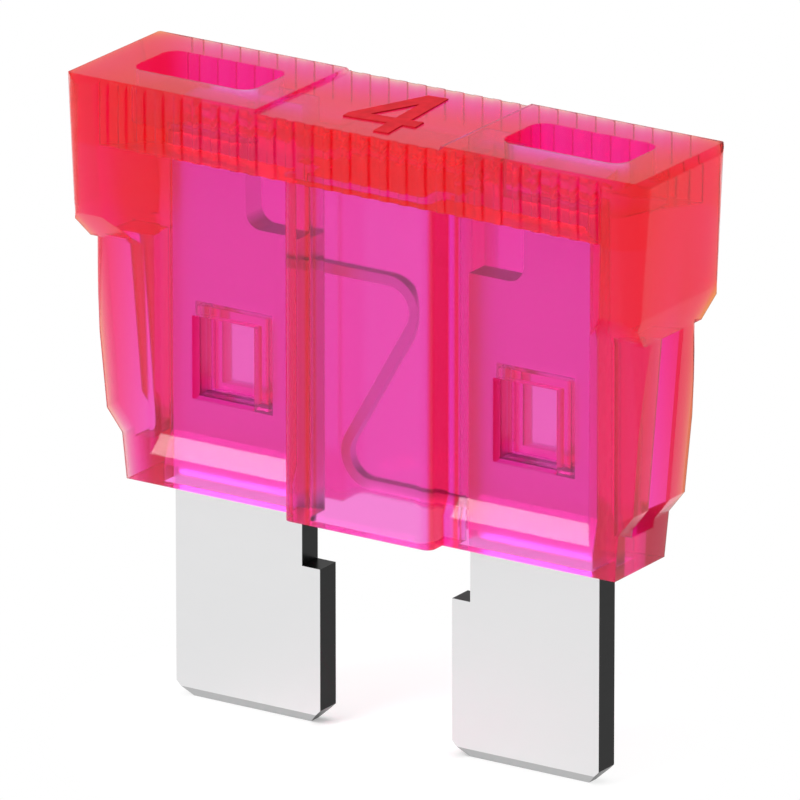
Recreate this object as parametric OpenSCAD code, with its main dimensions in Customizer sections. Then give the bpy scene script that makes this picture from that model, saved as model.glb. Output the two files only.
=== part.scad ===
// Automotive blade fuse, regular size, millimetres.
// One moulded, dyed-clear plastic housing over one stamped metal element.
// X runs along the row of blades, Y through the thickness, Z up from the blade tips.

/* [Overall] */
// Length of the head, end to end
head_len = 19.1; // [17.5:0.1:21]
// Thickness of the head over the ribs
head_thick = 5; // [4.6:0.1:6]
// Height of the housing, from its open rim to its top face
housing_h = 12; // [11:0.1:14]
// Length of the blades below the housing
blade_reach = 6.5; // [5:0.1:8]

/* [Head] */
// Radius of the head's upright corners
head_corner_r = 0.8; // [0.5:0.05:1.3]
// Depth of the ribbed lip below the top face
lip_h = 1.9; // [1.5:0.1:2.4]
// Depth of the full-width end blocks below the top face
ear_h = 4.05; // [3.4:0.05:4.6]
// Height of the slope below the end blocks
shoulder_h = 0.9; // [0.6:0.1:1.6]
// Taper of the head's ends and sides, from the top face down to the slope
head_draft = 0.2; // [0:0.01:0.3]
// Bevel along the edges of the top face
top_bevel = 0.2; // [0.05:0.01:0.3]
// Number of ribs on each long side
rib_count = 27; // [15:2:27]
// Radius of one rib
rib_r = 0.14; // [0.08:0.01:0.24]
// Distance from each end of the head to the middle of its last rib
rib_end = 1.49; // [1.3:0.01:1.8]
// Length of the sunk panel in the middle of the top face
rating_len = 6.1; // [4:0.1:7]
// Depth of that sunk panel
rating_depth = 0.1; // [0.05:0.01:0.3]

/* [Test wells] */
// Length of each well in the top face
well_len = 4; // [3:0.1:4.4]
// Width of each well
well_w = 2.1; // [1.2:0.1:2.6]
// Depth of each well
well_depth = 1.5; // [1:0.1:1.6]
// Plastic between each well and the end of the head
well_end = 1.45; // [1.2:0.05:1.8]
// Corner radius of a well
well_corner_r = 0.45; // [0.1:0.05:0.7]

/* [Lower body] */
// Length of the lower body under the slope
body_len = 18.3; // [17.5:0.1:18.6]
// Thickness of the lower body under the slope
body_thick = 2.96; // [2.8:0.02:3.6]
// Taper of each end from the slope down to its step
end_draft = 0.42; // [0:0.01:0.5]
// Taper of each end below its step
foot_draft = 0.12; // [0:0.01:0.2]
// Taper of each side from the slope down to the rim
side_draft = 0.2; // [0:0.01:0.25]
// How far each end steps in near the rim
step_size = 0.5; // [0.2:0.05:0.8]
// Height of the step's foot above the rim
step_h = 1.35; // [1:0.05:2]
// Height of the step's slope
step_slope_h = 0.65; // [0.3:0.05:1]
// Radius of the lower body's upright corners
body_corner_r = 0.5; // [0.1:0.05:0.7]
// Plastic between a flat panel's face and the element's slot
panel_wall = 0.6; // [0.4:0.05:0.7]
// Height of the thick rim at the open end
rim_h = 0.5; // [0.3:0.05:0.8]
// Height of the slope above the rim
rim_slope_h = 0.95; // [0.5:0.05:1.4]
// Plastic at the rim, beside the widened mouth of the slots
rim_wall = 0.48; // [0.4:0.02:0.6]
// How far the cheeks beside the panels slant outward up to the pillar's front
pillar_slant = 0.3; // [0.1:0.05:0.5]
// How far they slant outward from there to the front of the end blocks
ear_slant = 1; // [0.7:0.05:1.2]
// Width of the solid pillar wall beyond the element's slot
end_wall = 0.6; // [0.4:0.05:0.7]
// Width of the groove in each end face
end_groove_w = 1.1; // [0.8:0.1:1.6]
// Height of the groove's lower end above the rim
end_groove_low = 1.1; // [0.8:0.1:3]

/* [Link chamber] */
// Length of the bulge over the link
bulge_len = 4.9; // [4.4:0.1:5.2]
// Thickness of the housing over the bulge
bulge_thick = 3.8; // [3.3:0.1:4.2]
// Plastic over the link chamber
bulge_wall = 0.5; // [0.4:0.05:0.7]
// Height of the chamber above the rim
chamber_h = 10.1; // [8.6:0.1:10.3]

/* [Stake pockets] */
// Length of a pocket's mouth
pocket_len = 2.1; // [1.8:0.05:2.3]
// Height of a pocket's mouth
pocket_h = 2.45; // [2:0.05:2.8]
// Length of a pocket's floor
pocket_floor_len = 1.9; // [1.5:0.05:2]
// Height of a pocket's floor
pocket_floor_h = 2.25; // [1.8:0.05:2.4]
// Height of the pocket's middle above the rim
pocket_z = 3.9; // [3.4:0.05:4.4]
// Depth of a pocket below the panel
pocket_depth = 0.64; // [0.5:0.01:0.8]
// Distance between the middles of the two pockets on one side
pocket_pitch = 10; // [9.6:0.1:10.2]
// Plastic round the pocket, inside the housing
stake_wall = 0.24; // [0.15:0.01:0.3]

/* [Element] */
// Width of a blade
blade_w = 4.85; // [4.6:0.05:5.2]
// Distance between the middles of the two blades
blade_pitch = 9.25; // [9:0.05:9.6]
// Thickness of the blades
blade_t = 0.8; // [0.6:0.05:1]
// Width of the notch in each blade's inner edge
notch_w = 0.6; // [0.3:0.05:0.9]
// Length of the notched neck below the housing
neck_h = 1.85; // [0.8:0.05:2.4]
// Bevel at the blade tips, through the thickness
tip_bevel = 0.22; // [0.1:0.01:0.35]
// Height of that tip bevel
tip_bevel_h = 0.3; // [0.1:0.05:0.6]
// Cut at each lower corner of a blade
tip_corner = 0.45; // [0.1:0.01:0.6]
// Height of each terminal's outer horn above the rim
horn_h = 10.3; // [9.4:0.1:10.4]
// Width of each terminal's outer horn
horn_w = 2.45; // [2:0.05:2.8]
// Height of each terminal's inner shoulder above the rim
inner_h = 7.8; // [7.2:0.1:8.4]
// Radius in the corner between horn and shoulder
horn_fillet = 0.5; // [0.2:0.05:0.8]

/* [Fusible link] */
// Width of the link
link_w = 0.3; // [0.2:0.01:0.5]
// Thickness of the link
link_t = 0.3; // [0.2:0.05:0.6]
// Radius of the link's two bends, at its middle line
bend_r = 0.85; // [0.6:0.05:0.95]
// Drop from each terminal's inner shoulder to the link's upper run
link_drop = 0.8; // [0.4:0.05:1.4]
// Height of the link's lower run above the rim
link_low = 0.9; // [0.7:0.05:1.6]
// Place of the upper bend's centre along the fuse
bend_top_x = -0.04; // [-0.2:0.02:0.4]
// Place of the lower bend's centre along the fuse
bend_low_x = -0.6; // [-0.7:0.02:0]

/* [Fits] */
// Clearance on each side between the element and the housing
slot_gap = 0.05; // [0.03:0.01:0.1]
// Clearance round a stake in the element's hole
stake_gap = 0.1; // [0.05:0.01:0.15]

/* [Hidden] */
$fn = 64;

cut = 1;
hair = 0.01;
rim_z = blade_reach;
top_z = rim_z + housing_h;
lip_z = top_z - lip_h;
ear_z = top_z - ear_h;
shoulder_z = ear_z - shoulder_h;
step_z = rim_z + step_h;
step_top_z = step_z + step_slope_h;
rim_slope_z = rim_z + rim_h;
panel_z = rim_slope_z + rim_slope_h;

slot_y = blade_t / 2 + slot_gap;
panel_y = slot_y + panel_wall;
mouth_y = body_thick / 2 - side_draft - rim_wall;
lip_y = head_thick / 2 - rib_r;
rib_pitch = (head_len - 2 * rib_end) / (rib_count - 1);
well_x = head_len / 2 - well_end - well_len / 2;
slot_in_x = blade_pitch / 2 - blade_w / 2 + notch_w - slot_gap;
slot_out_x = blade_pitch / 2 + blade_w / 2 + slot_gap;
pillar_x = slot_out_x;
pillar_front_x = pillar_x + pillar_slant;
ear_x = pillar_front_x + ear_slant;
groove_x = slot_out_x + end_wall;
foot_x = body_len / 2 - end_draft - step_size;
chamber_y = bulge_thick / 2 - bulge_wall;
chamber_x = bulge_len / 2 - bulge_wall;

neck_in_x = slot_in_x + slot_gap;
blade_out_x = slot_out_x - slot_gap;
blade_in_x = blade_out_x - blade_w;
horn_in_x = blade_out_x - horn_w;
hole_len = pocket_floor_len + 2 * stake_wall + 2 * stake_gap;
hole_h = pocket_floor_h + 2 * stake_wall + 2 * stake_gap;

// Rounded rectangle, centred
module round_rect(len, wid, r) {
    union() {
        square([len - 2 * r, wid], center = true);
        square([len, wid - 2 * r], center = true);
        for (sx = [-1, 1], sy = [-1, 1])
            translate([sx * (len / 2 - r), sy * (wid / 2 - r)])
                circle(r = r);
    }
}

// Solid of a front outline (X, Z), centred on the middle plane
module through_thickness(depth) {
    rotate([90, 0, 0])
        translate([0, 0, -depth / 2])
            linear_extrude(height = depth)
                children();
}

// Solid of a side outline (Y, Z), centred end to end
module along_length(len) {
    rotate([90, 0, 90])
        translate([0, 0, -len / 2])
            linear_extrude(height = len)
                children();
}

// Outline mirrored to both sides of the middle, from points on the +X side
module both_sides(points) {
    polygon(concat(points, [for (i = [len(points) - 1 : -1 : 0]) [-points[i][0], points[i][1]]]));
}

// Front outline of the head, its end blocks and the slope below them
module head_front() {
    both_sides([
        [head_len / 2 - top_bevel, top_z],
        [head_len / 2, top_z - top_bevel],
        [head_len / 2 - head_draft, ear_z],
        [body_len / 2, shoulder_z]
    ]);
}

// Side outline of the head, its end blocks and the slope below them
module head_side() {
    both_sides([
        [head_thick / 2 - top_bevel, top_z],
        [head_thick / 2, top_z - top_bevel],
        [head_thick / 2 - head_draft, ear_z],
        [body_thick / 2, shoulder_z]
    ]);
}

// Plan of both ends: all that lies outside the slanted cheeks beside the panels
module end_plan() {
    far = head_len;
    for (sx = [-1, 1])
        polygon([
            [sx * pillar_x, -panel_y],
            [sx * pillar_x, panel_y],
            [sx * pillar_front_x, body_thick / 2],
            [sx * ear_x, head_thick / 2],
            [sx * far, head_thick / 2],
            [sx * far, -head_thick / 2],
            [sx * ear_x, -head_thick / 2],
            [sx * pillar_front_x, -body_thick / 2]
        ]);
}

// Limits of the head's four rounded corners, which narrow from the top face down
module head_corners() {
    h = top_z - shoulder_z;
    in_x = head_len / 2 - head_corner_r;
    in_y = head_thick / 2 - head_corner_r;
    translate([0, 0, shoulder_z + h / 2]) {
        cube([2 * in_x, head_thick + cut, h], center = true);
        cube([head_len + cut, 2 * in_y, h], center = true);
    }
    for (sx = [-1, 1], sy = [-1, 1])
        translate([sx * in_x, sy * in_y, shoulder_z])
            cylinder(r1 = head_corner_r + hair - head_draft, r2 = head_corner_r + hair, h = h);
}

// Ribs along both long sides of the head
module ribs() {
    for (i = [0 : rib_count - 1], sy = [-1, 1])
        translate([(i - (rib_count - 1) / 2) * rib_pitch, sy * lip_y, lip_z])
            cylinder(r = rib_r, h = lip_h);
}

// Head: ribbed lip all round, with deeper blocks at the two ends
module head() {
    intersection() {
        through_thickness(head_thick + cut)
            head_front();
        along_length(head_len + cut)
            head_side();
        head_corners();
        union() {
            translate([0, 0, lip_z])
                linear_extrude(height = lip_h)
                    difference() {
                        square([head_len, head_thick + cut], center = true);
                        for (sy = [-1, 1])
                            translate([0, sy * (lip_y + cut / 2)])
                                square([head_len - 2 * head_corner_r, cut], center = true);
                    }
            ribs();
            translate([0, 0, shoulder_z])
                linear_extrude(height = top_z - shoulder_z)
                    end_plan();
        }
    }
}

// Lower body: two end pillars, thin panels between them and a thick rim
module lower_body() {
    intersection() {
        through_thickness(body_thick + cut)
            both_sides([
                [body_len / 2, shoulder_z + cut],
                [body_len / 2, shoulder_z],
                [body_len / 2 - end_draft, step_top_z],
                [foot_x, step_z],
                [foot_x - foot_draft, rim_z]
            ]);
        along_length(body_len + cut)
            both_sides([
                [body_thick / 2, shoulder_z + cut],
                [body_thick / 2, shoulder_z],
                [body_thick / 2 - side_draft, rim_z]
            ]);
        translate([0, 0, rim_z])
            linear_extrude(height = housing_h)
                round_rect(body_len, body_thick, body_corner_r);
        union() {
            translate([0, 0, rim_z])
                linear_extrude(height = housing_h)
                    end_plan();
            along_length(body_len)
                both_sides([
                    [panel_y, lip_z + cut],
                    [panel_y, panel_z],
                    [body_thick / 2, rim_slope_z],
                    [body_thick / 2, rim_z]
                ]);
        }
    }
    translate([0, 0, (panel_z + lip_z) / 2])
        cube([2 * pillar_x, 2 * panel_y, lip_z - panel_z], center = true);
}

// Bulge over the link, proud of the panels front and back
module bulge() {
    translate([0, 0, (rim_z + lip_z) / 2])
        intersection() {
            cube([bulge_len, bulge_thick, lip_z - rim_z], center = true);
            linear_extrude(height = housing_h, center = true)
                round_rect(bulge_len, bulge_thick, bulge_wall / 2);
        }
}

// Slots for the two terminals, wider at the rim, joined by the chamber round the link
module element_space() {
    for (sx = [-1, 1])
        translate([sx * (slot_in_x + slot_out_x) / 2, 0, 0])
            along_length(slot_out_x - slot_in_x)
                both_sides([
                    [slot_y, top_z - well_depth + cut],
                    [slot_y, panel_z],
                    [mouth_y, rim_slope_z],
                    [mouth_y, rim_z - cut]
                ]);
    translate([0, 0, rim_z + chamber_h / 2 - cut / 2])
        cube([2 * slot_in_x + cut, 2 * slot_y, chamber_h + cut], center = true);
    translate([0, 0, rim_z - cut])
        linear_extrude(height = chamber_h + cut)
            round_rect(2 * chamber_x, 2 * chamber_y, bulge_wall / 2);
}

// Wells in the top face, through which a probe reaches the terminals
module wells() {
    for (sx = [-1, 1])
        translate([sx * well_x, 0, top_z - well_depth])
            linear_extrude(height = well_depth + cut)
                round_rect(well_len, well_w, well_corner_r);
}

// Square funnel, wide at y = 0 and narrow at y = depth
module funnel(mouth_len, mouth_h, floor_len, floor_h, depth) {
    intersection() {
        linear_extrude(height = mouth_h, center = true)
            polygon([
                [-mouth_len / 2, 0], [-floor_len / 2, depth],
                [floor_len / 2, depth], [mouth_len / 2, 0]
            ]);
        along_length(mouth_len)
            polygon([
                [0, -mouth_h / 2], [depth, -floor_h / 2],
                [depth, floor_h / 2], [0, mouth_h / 2]
            ]);
    }
}

// Every pocket place, turned so that +Y points into the housing
module at_pockets() {
    for (sx = [-1, 1], turn = [0, 180])
        translate([sx * pocket_pitch / 2, 0, rim_z + pocket_z])
            rotate([0, 0, turn])
                translate([0, -panel_y, 0])
                    children();
}

// Stakes: the pockets' inner sides, which pass through the holes in the terminals
module stakes() {
    grow = 2 * stake_wall;
    at_pockets()
        intersection() {
            funnel(pocket_len + grow, pocket_h + grow, pocket_floor_len + grow,
                pocket_floor_h + grow, pocket_depth + stake_wall);
            translate([0, panel_y, 0])
                cube([hole_len - 2 * stake_gap, 2 * panel_y, hole_h - 2 * stake_gap], center = true);
        }
}

// Grooves that hollow the two end pillars
module end_grooves() {
    low = rim_z + end_groove_low;
    for (sx = [-1, 1])
        translate([sx * (groove_x + head_len / 2), 0, (low + shoulder_z) / 2])
            cube([head_len, end_groove_w, shoulder_z - low], center = true);
}

module housing() {
    color([0.93, 0.22, 0.5])
        difference() {
            union() {
                difference() {
                    union() {
                        head();
                        lower_body();
                        bulge();
                    }
                    element_space();
                }
                stakes();
            }
            wells();
            end_grooves();
            at_pockets()
                translate([0, -hair, 0])
                    funnel(pocket_len, pocket_h, pocket_floor_len, pocket_floor_h, pocket_depth);
            translate([0, 0, top_z])
                cube([rating_len, head_thick + cut, 2 * rating_depth], center = true);
        }
}

// Outline (X, Z) of the terminal on the +X side: blade, neck, shoulder and horn
module terminal_outline() {
    difference() {
        polygon([
            [blade_in_x + tip_corner, 0],
            [blade_out_x - tip_corner, 0],
            [blade_out_x, tip_corner],
            [blade_out_x, rim_z + horn_h],
            [horn_in_x, rim_z + horn_h],
            [horn_in_x, rim_z + inner_h + horn_fillet],
            [horn_in_x - horn_fillet, rim_z + inner_h + horn_fillet],
            [horn_in_x - horn_fillet, rim_z + inner_h],
            [neck_in_x, rim_z + inner_h],
            [neck_in_x, rim_z - neck_h],
            [blade_in_x, rim_z - neck_h],
            [blade_in_x, tip_corner]
        ]);
        translate([horn_in_x - horn_fillet, rim_z + inner_h + horn_fillet])
            circle(r = horn_fillet);
        translate([pocket_pitch / 2, rim_z + pocket_z])
            square([hole_len, hole_h], center = true);
    }
}

// Both terminals, with the blade tips bevelled front and back
module terminals() {
    intersection() {
        through_thickness(blade_t)
            for (side = [0, 1])
                mirror([side, 0])
                    terminal_outline();
        along_length(head_len)
            both_sides([
                [blade_t / 2, top_z],
                [blade_t / 2, tip_bevel_h],
                [blade_t / 2 - tip_bevel, 0]
            ]);
    }
}

// Arc band of the link, from one angle to another
module bend(from, to) {
    far = 4 * bend_r;
    intersection() {
        difference() {
            circle(r = bend_r + link_w / 2);
            circle(r = bend_r - link_w / 2);
        }
        polygon(concat([[0, 0]], [for (i = [0 : 4]) far * [cos(from + (to - from) * i / 4),
            sin(from + (to - from) * i / 4)]]));
    }
}

// Straight band of the link between two points, a little longer at both ends
module run(a, b) {
    d = b - a;
    more = link_w / 10;
    translate(a)
        rotate(atan2(d[1], d[0]))
            translate([-more, -link_w / 2])
                square([norm(d) + 2 * more, link_w]);
}

// Thin link: out of the left terminal, back down in an S, into the right terminal
module link() {
    top_c = [bend_top_x, rim_z + inner_h - link_drop - bend_r];
    low_c = [bend_low_x, rim_z + link_low + bend_r];
    v = low_c - top_c;
    lean = atan2(-v[0], -v[1]) + asin(2 * bend_r / norm(v));
    side = bend_r * [cos(lean), -sin(lean)];
    bite = notch_w / 2;
    through_thickness(link_t) {
        run([-neck_in_x - bite, top_c[1] + bend_r], [top_c[0], top_c[1] + bend_r]);
        translate(top_c)
            bend(90, -lean);
        run(top_c + side, low_c - side);
        translate(low_c)
            bend(180 - lean, 270);
        run([low_c[0], low_c[1] - bend_r], [neck_in_x + bite, low_c[1] - bend_r]);
    }
}

module fuse_element() {
    color([0.86, 0.86, 0.87]) {
        terminals();
        link();
    }
}

housing();
fuse_element();
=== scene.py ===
"""Automotive blade fuse: a clear, pink moulded housing over one bright stamped element."""

import math

import bmesh
import bpy
from mathutils import Matrix, Vector


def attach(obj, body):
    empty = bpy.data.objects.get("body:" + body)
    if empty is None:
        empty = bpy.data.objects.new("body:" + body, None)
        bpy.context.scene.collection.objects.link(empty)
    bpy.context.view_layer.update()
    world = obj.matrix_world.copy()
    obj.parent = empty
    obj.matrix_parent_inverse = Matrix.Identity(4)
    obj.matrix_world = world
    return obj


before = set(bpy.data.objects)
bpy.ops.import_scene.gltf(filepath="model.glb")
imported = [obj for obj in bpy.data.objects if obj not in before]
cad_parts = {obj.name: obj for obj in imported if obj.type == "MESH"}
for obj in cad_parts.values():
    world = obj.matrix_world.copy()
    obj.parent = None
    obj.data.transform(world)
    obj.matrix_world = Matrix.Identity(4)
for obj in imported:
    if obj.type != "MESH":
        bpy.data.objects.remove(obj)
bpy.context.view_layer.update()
scene = bpy.context.scene
scene.view_settings.view_transform = "Standard"
mm = 0.001

# Camera: a long lens from the right and a little above, at the photograph's angle
# The picture is 800 pixels wide, so a focal length in pixels gives the lens
camera_azimuth = math.radians(33.16)
camera_elevation = math.radians(18.6)
camera_distance = 463.7 * mm
focal_pixels = 16699
picture_pixels = 800
aim_height = 11 * mm
aim_right = 0.175 * mm
aim_up = -1.0 * mm

sight_right = Vector((math.cos(camera_azimuth), math.sin(camera_azimuth), 0))
sight_back = Vector((
    math.sin(camera_azimuth) * math.cos(camera_elevation),
    -math.cos(camera_azimuth) * math.cos(camera_elevation),
    math.sin(camera_elevation),
))
sight_up = sight_back.cross(sight_right)
aim = Vector((0, 0, aim_height)) + sight_right * aim_right + sight_up * aim_up
camera_data = bpy.data.cameras.new("camera")
camera_data.sensor_width = 36
camera_data.lens = camera_data.sensor_width * focal_pixels / picture_pixels
camera_data.clip_start = 10 * mm
camera_data.clip_end = 5
camera = bpy.data.objects.new("camera", camera_data)
camera.matrix_world = Matrix.Translation(aim + sight_back * camera_distance) @ Matrix((
    (sight_right.x, sight_up.x, sight_back.x, 0),
    (sight_right.y, sight_up.y, sight_back.y, 0),
    (sight_right.z, sight_up.z, sight_back.z, 0),
    (0, 0, 0, 1),
))
scene.collection.objects.link(camera)
scene.camera = camera

# Studio: a white world, less bright where it only lights or is mirrored, and three soft lamps
# The key and the top lamp light the fuse, and the slopes above its rim mirror the low one
world_light = 0.62
mirrored_light = 0.45


def calculate(tree, operation, first, second=None):
    """A Math node on numbers or on other nodes' outputs; gives its output."""
    step = tree.nodes.new("ShaderNodeMath")
    step.operation = operation
    for socket, term in zip(step.inputs, (first, second)):
        if isinstance(term, bpy.types.NodeSocket):
            tree.links.new(term, socket)
        elif term is not None:
            socket.default_value = term
    return step.outputs["Value"]


def soft_lamp(name, place, size, watts):
    """A square area lamp that faces the middle of the fuse."""
    data = bpy.data.lights.new(name, "AREA")
    data.shape = "SQUARE"
    data.size = size
    data.energy = watts
    lamp = bpy.data.objects.new(name, data)
    lamp.location = place
    facing = Vector((0, 0, aim_height)) - Vector(place)
    lamp.rotation_euler = facing.to_track_quat("-Z", "Y").to_euler()
    scene.collection.objects.link(lamp)


world = bpy.data.worlds.new("studio")
world.use_nodes = True
tree = world.node_tree
tree.nodes.clear()
rays = tree.nodes.new("ShaderNodeLightPath")
seen = calculate(tree, "MAXIMUM", rays.outputs["Is Camera Ray"], rays.outputs["Is Transmission Ray"])
mirrored = calculate(tree, "MULTIPLY", rays.outputs["Is Glossy Ray"], mirrored_light)
brightness = calculate(tree, "MAXIMUM", calculate(tree, "MAXIMUM", seen, mirrored), world_light)
background = tree.nodes.new("ShaderNodeBackground")
background.inputs["Color"].default_value = (1, 1, 1, 1)
world_out = tree.nodes.new("ShaderNodeOutputWorld")
tree.links.new(brightness, background.inputs["Strength"])
tree.links.new(background.outputs["Background"], world_out.inputs["Surface"])
scene.world = world

soft_lamp("key", (-0.10, -0.22, 0.26), 0.16, 0.55)
soft_lamp("top", (0.03, 0.10, 0.30), 0.20, 0.35)
soft_lamp("low", (-0.157, -0.240, 0.099), 0.07, 0.22)

# Floor: a pale disc that takes the fuse's shadow near the blades
# Its paint runs out into the white of the world within a centimetre of the middle
floor_radius = 1.5
fade_end = 10 * mm


def spread(tree, value, start, end, low=0, high=1, ease="LINEAR"):
    """A Map Range node, low at the start and high at the end; gives its output."""
    step = tree.nodes.new("ShaderNodeMapRange")
    step.interpolation_type = ease
    step.inputs["From Min"].default_value = start
    step.inputs["From Max"].default_value = end
    step.inputs["To Min"].default_value = low
    step.inputs["To Max"].default_value = high
    tree.links.new(value, step.inputs["Value"])
    return step.outputs["Result"]


bm = bmesh.new()
bmesh.ops.create_circle(bm, cap_ends=True, radius=floor_radius, segments=96)
floor_mesh = bpy.data.meshes.new("floor")
bm.to_mesh(floor_mesh)
bm.free()
floor = bpy.data.objects.new("floor", floor_mesh)
scene.collection.objects.link(floor)

floor_paint = bpy.data.materials.new("studio_floor")
floor_paint.use_nodes = True
tree = floor_paint.node_tree
tree.nodes.clear()
place = tree.nodes.new("ShaderNodeTexCoord")
reach = tree.nodes.new("ShaderNodeVectorMath")
reach.operation = "LENGTH"
tree.links.new(place.outputs["Object"], reach.inputs[0])
fade = spread(tree, reach.outputs["Value"], 0, fade_end, ease="SMOOTHSTEP")
rays = tree.nodes.new("ShaderNodeLightPath")
paint = tree.nodes.new("ShaderNodeBsdfDiffuse")
paint.inputs["Color"].default_value = (0.92, 0.92, 0.92, 1)
lift = tree.nodes.new("ShaderNodeEmission")
lift.inputs["Strength"].default_value = 0.2
lifted = tree.nodes.new("ShaderNodeAddShader")
white = tree.nodes.new("ShaderNodeEmission")
white.inputs["Strength"].default_value = 1
fading = tree.nodes.new("ShaderNodeMixShader")
floor_out = tree.nodes.new("ShaderNodeOutputMaterial")
tree.links.new(paint.outputs[0], lifted.inputs[0])
tree.links.new(lift.outputs[0], lifted.inputs[1])
tree.links.new(calculate(tree, "MAXIMUM", fade, rays.outputs["Is Transmission Ray"]), fading.inputs["Fac"])
tree.links.new(lifted.outputs[0], fading.inputs[1])
tree.links.new(white.outputs[0], fading.inputs[2])
tree.links.new(fading.outputs[0], floor_out.inputs["Surface"])
floor_mesh.materials.append(floor_paint)

# Housing: one injection moulding in clear plastic with a pink dye, staked to the element
# Thin walls stay pink and thick ones turn red, and painted shade by place darkens some parts further
# Its edges are slightly rounded, and its skin has the faint unevenness of a moulding
rim_height = 6.5 * mm
top_height = 18.5 * mm
head_end = 9.6 * mm
head_low = 16.55 * mm
lip_inner = 0.9 * mm
lip_outer = 2.3 * mm
bulge_end = 2.45 * mm
beside_bulge = bulge_end + 0.2 * mm
pillar_start = 7.3 * mm
pillar_end = 9 * mm
foot_inner = 7.2 * mm
foot_top = 7.6 * mm
step_top = 8.4 * mm
pillar_inner = 8.6 * mm
pillar_rise = 0.42 * mm
pillar_top = 13.5 * mm
pocket_x = 5 * mm
pocket_height = 10.4 * mm
pocket_half_length = 1.12 * mm
pocket_half_height = 1.27 * mm
pocket_outer = 1.03 * mm
clear_tint = (0.92, 0.95, 0.96, 1)
# Painted shade: the deep red of the stripe down the bulge's front edges
bulge_stripe_shade = (0.88, 0.2, 0.06, 1)


def shades(tree, value, stops):
    """A Color Ramp node through the stops, which are places and colours; gives its colour."""
    step = tree.nodes.new("ShaderNodeValToRGB")
    row = step.color_ramp.elements
    row[0].position, row[0].color = stops[0]
    row[1].position, row[1].color = stops[-1]
    for at, color in stops[1:-1]:
        row.new(at).color = color
    tree.links.new(value, step.inputs["Fac"])
    return step.outputs["Color"]


def mix(tree, share, first, second, blend="MIX"):
    """A Mix node between two colours; gives its colour."""
    step = tree.nodes.new("ShaderNodeMix")
    step.data_type = "RGBA"
    step.blend_type = blend
    for name, term in (("Factor", share), ("A", first), ("B", second)):
        if isinstance(term, bpy.types.NodeSocket):
            tree.links.new(term, step.inputs[name])
        else:
            step.inputs[name].default_value = term
    return step.outputs["Result"]


dye = bpy.data.materials.new("clear_pink_plastic")
dye.use_nodes = True
tree = dye.node_tree
tree.nodes.clear()
place = tree.nodes.new("ShaderNodeTexCoord")
split_place = tree.nodes.new("ShaderNodeSeparateXYZ")
tree.links.new(place.outputs["Object"], split_place.inputs[0])
side = split_place.outputs["Y"]
height = split_place.outputs["Z"]
outward = calculate(tree, "ABSOLUTE", split_place.outputs["X"])
in_head = calculate(tree, "GREATER_THAN", height, head_low)

# Painted shade: darker red towards both ends, and in a stripe down the front edges of the bulge
at_back = calculate(tree, "GREATER_THAN", side, 0)
no_stripe = calculate(tree, "MULTIPLY", calculate(tree, "MAXIMUM", in_head, at_back), beside_bulge)
along = calculate(tree, "DIVIDE", calculate(tree, "MAXIMUM", outward, no_stripe), head_end)
tint_and_painted_shade = shades(tree, along, (
    (0, clear_tint),
    ((bulge_end - 0.15 * mm) / head_end, clear_tint),
    ((bulge_end - 0.07 * mm) / head_end, bulge_stripe_shade),
    ((bulge_end + 0.03 * mm) / head_end, bulge_stripe_shade),
    ((bulge_end + 0.1 * mm) / head_end, clear_tint),
    (pillar_start / head_end, clear_tint),
    (pillar_end / head_end, (0.92, 0.55, 0.3, 1)),
    (1, (0.92, 0.4, 0.08, 1)),
))

# Painted shade: redder towards the head's front and back lips
sideways = calculate(tree, "ABSOLUTE", side)
near_lip = spread(tree, sideways, lip_inner, lip_outer, ease="SMOOTHSTEP")
tint_and_painted_shade = mix(tree, calculate(tree, "MULTIPLY", near_lip, in_head), tint_and_painted_shade, (1, 0.68, 0.5, 1), "MULTIPLY")

# Painted shade: redder in the four stake pockets, most of all in their side walls
from_pocket_x = calculate(tree, "ABSOLUTE", calculate(tree, "SUBTRACT", outward, pocket_x))
from_pocket_z = calculate(tree, "ABSOLUTE", calculate(tree, "SUBTRACT", height, pocket_height))
in_length = calculate(tree, "LESS_THAN", from_pocket_x, pocket_half_length)
in_height = calculate(tree, "LESS_THAN", from_pocket_z, pocket_half_height)
in_depth = calculate(tree, "LESS_THAN", sideways, pocket_outer)
in_pocket = calculate(tree, "MULTIPLY", calculate(tree, "MULTIPLY", in_length, in_height), in_depth)
pocket_painted_shade = shades(tree, spread(tree, from_pocket_x, 0, pocket_half_length), (
    (0.8, (1, 0.72, 0.88, 1)),
    (0.87, (0.97, 0.3, 0.3, 1)),
))
tint_and_painted_shade = mix(tree, in_pocket, tint_and_painted_shade, pocket_painted_shade, "MULTIPLY")

# Painted shade: deepest in the back half of the end pillars and of the foot under them, darkest low down
over_step = spread(tree, height, foot_top, step_top, foot_inner, pillar_inner)
up_pillar = spread(tree, height, step_top, pillar_top, 0, pillar_rise)
at_end = calculate(tree, "GREATER_THAN", outward, calculate(tree, "ADD", over_step, up_pillar))
back_half = spread(tree, side, -0.6 * mm, 0.4 * mm, ease="SMOOTHSTEP")
end_painted_shade = shades(tree, spread(tree, height, rim_height, top_height), (
    (0.12, (0.5, 0.07, 0.1, 1)),
    (0.16, (0.78, 0.35, 0.16, 1)),
    (0.5, (0.82, 0.4, 0.16, 1)),
    (0.65, (0.92, 0.8, 0.25, 1)),
    (1, (1, 1, 1, 1)),
))
tint_and_painted_shade = mix(tree, calculate(tree, "MULTIPLY", at_end, back_half), tint_and_painted_shade, end_painted_shade, "MULTIPLY")

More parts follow.
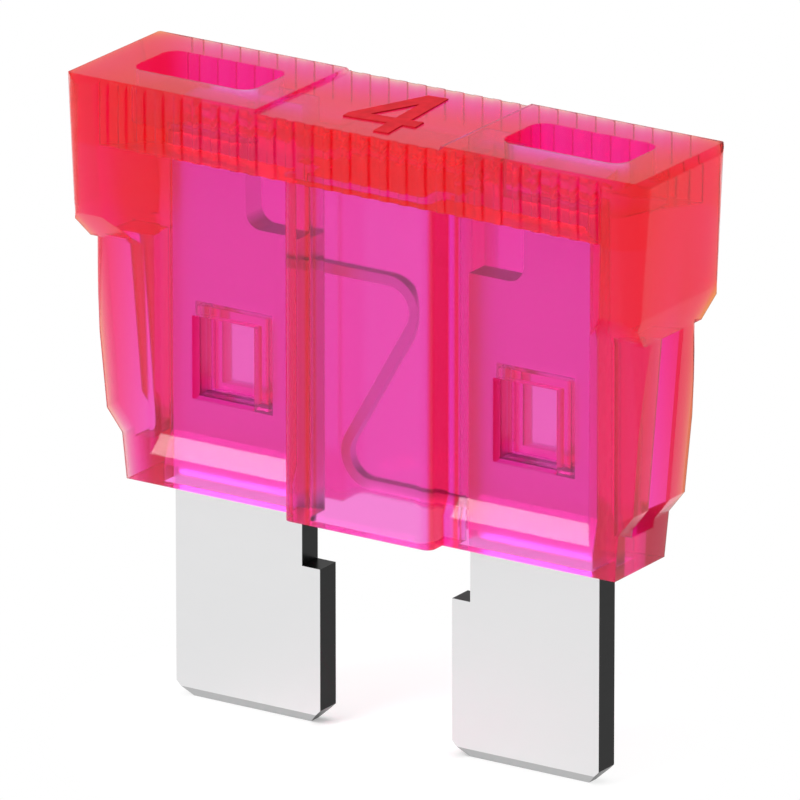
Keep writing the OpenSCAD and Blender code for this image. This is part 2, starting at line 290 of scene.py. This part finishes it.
# The plastic itself, with its rounded edges and uneven skin
rounded = tree.nodes.new("ShaderNodeBevel")
rounded.samples = 4
rounded.inputs["Radius"].default_value = 0.1 * mm
ripple = tree.nodes.new("ShaderNodeTexNoise")
ripple.inputs["Scale"].default_value = 900
ripple.inputs["Detail"].default_value = 2
uneven = tree.nodes.new("ShaderNodeBump")
uneven.inputs["Strength"].default_value = 0.12
uneven.inputs["Distance"].default_value = 0.02 * mm
plastic = tree.nodes.new("ShaderNodeBsdfPrincipled")
plastic.inputs["IOR"].default_value = 1.12
plastic.inputs["Coat Weight"].default_value = 0.42
plastic.inputs["Coat Roughness"].default_value = 0.12
plastic.inputs["Transmission Weight"].default_value = 0.982
absorb = tree.nodes.new("ShaderNodeVolumeAbsorption")
absorb.inputs["Color"].default_value = (0.993, 0.04, 0.758, 1)
absorb.inputs["Density"].default_value = 2700
dye_out = tree.nodes.new("ShaderNodeOutputMaterial")
tree.links.new(place.outputs["Object"], ripple.inputs["Vector"])
tree.links.new(ripple.outputs["Fac"], uneven.inputs["Height"])
tree.links.new(rounded.outputs["Normal"], uneven.inputs["Normal"])
tree.links.new(uneven.outputs["Normal"], plastic.inputs["Normal"])
tree.links.new(spread(tree, ripple.outputs["Fac"], 0, 1, 0.13, 0.22), plastic.inputs["Roughness"])
tree.links.new(tint_and_painted_shade, plastic.inputs["Base Color"])
tree.links.new(plastic.outputs["BSDF"], dye_out.inputs["Surface"])
tree.links.new(absorb.outputs["Volume"], dye_out.inputs["Volume"])
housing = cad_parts["housing"]
housing.data.materials.clear()
housing.data.materials.append(dye)

# Element: one zinc stamping, plated bright on its rolled faces and held by the housing's stakes
# Below the rim its sheared edges and ledges get painted shade, near black, and inside only the level ones
# do
# Painted light makes the terminals a little brighter than the link between them
# Painted shade: the near-black of the sheared edges and ledges outside
painted_edge_shade = (0.01, 0.01, 0.01, 1)
rolled_face = (0.74, 0.74, 0.745, 1)
# Between these heights the painted edge shade outside gives way to the inside tones
tone_change_start = 6.2 * mm
tone_change_end = 6.9 * mm
terminal_start = 2.7 * mm
terminal_end = 2.8 * mm
horn_start = 15.5 * mm
horn_end = 16 * mm
sheet = bpy.data.materials.new("plated_metal")
sheet.use_nodes = True
tree = sheet.node_tree
tree.nodes.clear()
place = tree.nodes.new("ShaderNodeTexCoord")
split_place = tree.nodes.new("ShaderNodeSeparateXYZ")
split_normal = tree.nodes.new("ShaderNodeSeparateXYZ")
tree.links.new(place.outputs["Object"], split_place.inputs[0])
tree.links.new(place.outputs["Normal"], split_normal.inputs[0])
height = split_place.outputs["Z"]
outward = calculate(tree, "ABSOLUTE", split_place.outputs["X"])
facing = calculate(tree, "ABSOLUTE", split_normal.outputs["Y"])
# Outside, faces turned along Y keep the bright plating and the rest get painted shade
outside_tone_and_shade = shades(tree, facing, ((0.55, painted_edge_shade), (0.97, rolled_face)))
# Inside, painted light brightens the terminals and painted shade darkens the level ledges, but not the
# horn tops
terminal_painted_light = spread(tree, outward, terminal_start, terminal_end, 0.75, 0.92)
ledge_painted_shade = spread(tree, split_normal.outputs["Z"], 0.2, 0.8, 1, 0.35)
horn_top = spread(tree, height, horn_start, horn_end)
inside_tone_and_shade = calculate(tree, "MULTIPLY", terminal_painted_light, calculate(tree, "MAXIMUM", ledge_painted_shade, horn_top))
inside = spread(tree, height, tone_change_start, tone_change_end)

stretch = tree.nodes.new("ShaderNodeMapping")
stretch.inputs["Scale"].default_value = (900, 900, 9000)
rolled = tree.nodes.new("ShaderNodeTexNoise")
rolled.inputs["Scale"].default_value = 1
rolled.inputs["Detail"].default_value = 3
streaks = tree.nodes.new("ShaderNodeBump")
streaks.inputs["Strength"].default_value = 0.08
streaks.inputs["Distance"].default_value = 0.01 * mm
metal = tree.nodes.new("ShaderNodeBsdfPrincipled")
metal.inputs["Metallic"].default_value = 1
metal_out = tree.nodes.new("ShaderNodeOutputMaterial")
tree.links.new(place.outputs["Object"], stretch.inputs["Vector"])
tree.links.new(stretch.outputs["Vector"], rolled.inputs["Vector"])
tree.links.new(rolled.outputs["Fac"], streaks.inputs["Height"])
tree.links.new(streaks.outputs["Normal"], metal.inputs["Normal"])
tree.links.new(spread(tree, rolled.outputs["Fac"], 0, 1, 0.26, 0.4), metal.inputs["Roughness"])
tree.links.new(mix(tree, inside, outside_tone_and_shade, inside_tone_and_shade), metal.inputs["Base Color"])
tree.links.new(metal.outputs["BSDF"], metal_out.inputs["Surface"])
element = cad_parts["fuse_element"]
element.data.materials.clear()
element.data.materials.append(sheet)

# Rating numeral: a flat raised 4 in deep red, moulded on the sunk panel in the middle of the top
# It is drawn in outline with its window, filled, raised and turned a little
numeral_top = 1.52 * mm
numeral_foot = -2.02 * mm
bar_top = -0.7 * mm
bar_low = -1.2 * mm
bar_left = -0.95 * mm
bar_right = 1.32 * mm
stem_left = 0.44 * mm
stem_right = 0.91 * mm
stroke = 0.5 * mm
numeral_turn = math.radians(5)
panel_height = 18.4 * mm
numeral_rise = 0.04 * mm
outline = [
    (bar_left, bar_low), (stem_left, bar_low), (stem_left, numeral_foot), (stem_right, numeral_foot),
    (stem_right, bar_low), (bar_right, bar_low), (bar_right, bar_top), (stem_right, bar_top),
    (stem_right, numeral_top), (stem_left - stroke / 3, numeral_top), (bar_left, bar_top - stroke / 3),
]
window = [
    (bar_left + 1.2 * stroke, bar_top), (stem_left, bar_top), (stem_left, numeral_top - 1.6 * stroke),
]
bm = bmesh.new()
for ring in (outline, window):
    corners = [bm.verts.new((x, y, panel_height)) for x, y in ring]
    for i, corner in enumerate(corners):
        bm.edges.new((corners[i - 1], corner))
bmesh.ops.triangle_fill(bm, edges=bm.edges[:], use_beauty=True, use_dissolve=False)
raised = bmesh.ops.extrude_face_region(bm, geom=bm.faces[:])
bmesh.ops.translate(bm, vec=(0, 0, numeral_rise),
                    verts=[v for v in raised["geom"] if isinstance(v, bmesh.types.BMVert)])
bmesh.ops.rotate(bm, verts=bm.verts[:], matrix=Matrix.Rotation(numeral_turn, 3, "Z"))
bmesh.ops.recalc_face_normals(bm, faces=bm.faces[:])
numeral_mesh = bpy.data.meshes.new("rating_numeral")
bm.to_mesh(numeral_mesh)
bm.free()
numeral = bpy.data.objects.new("rating_numeral", numeral_mesh)
scene.collection.objects.link(numeral)

ink = bpy.data.materials.new("numeral_red")
ink.use_nodes = True
tree = ink.node_tree
paint = tree.nodes["Principled BSDF"]
paint.inputs["Roughness"].default_value = 0.6
paint.inputs["Specular IOR Level"].default_value = 0.1
place = tree.nodes.new("ShaderNodeTexCoord")
grain = tree.nodes.new("ShaderNodeTexNoise")
grain.inputs["Scale"].default_value = 2500
grain.inputs["Detail"].default_value = 3
tree.links.new(place.outputs["Object"], grain.inputs["Vector"])
red = shades(tree, grain.outputs["Fac"], ((0.35, (0.48, 0.005, 0.014, 1)), (0.65, (0.6, 0.008, 0.02, 1))))
tree.links.new(red, paint.inputs["Base Color"])
numeral_mesh.materials.append(ink)
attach(numeral, "root")
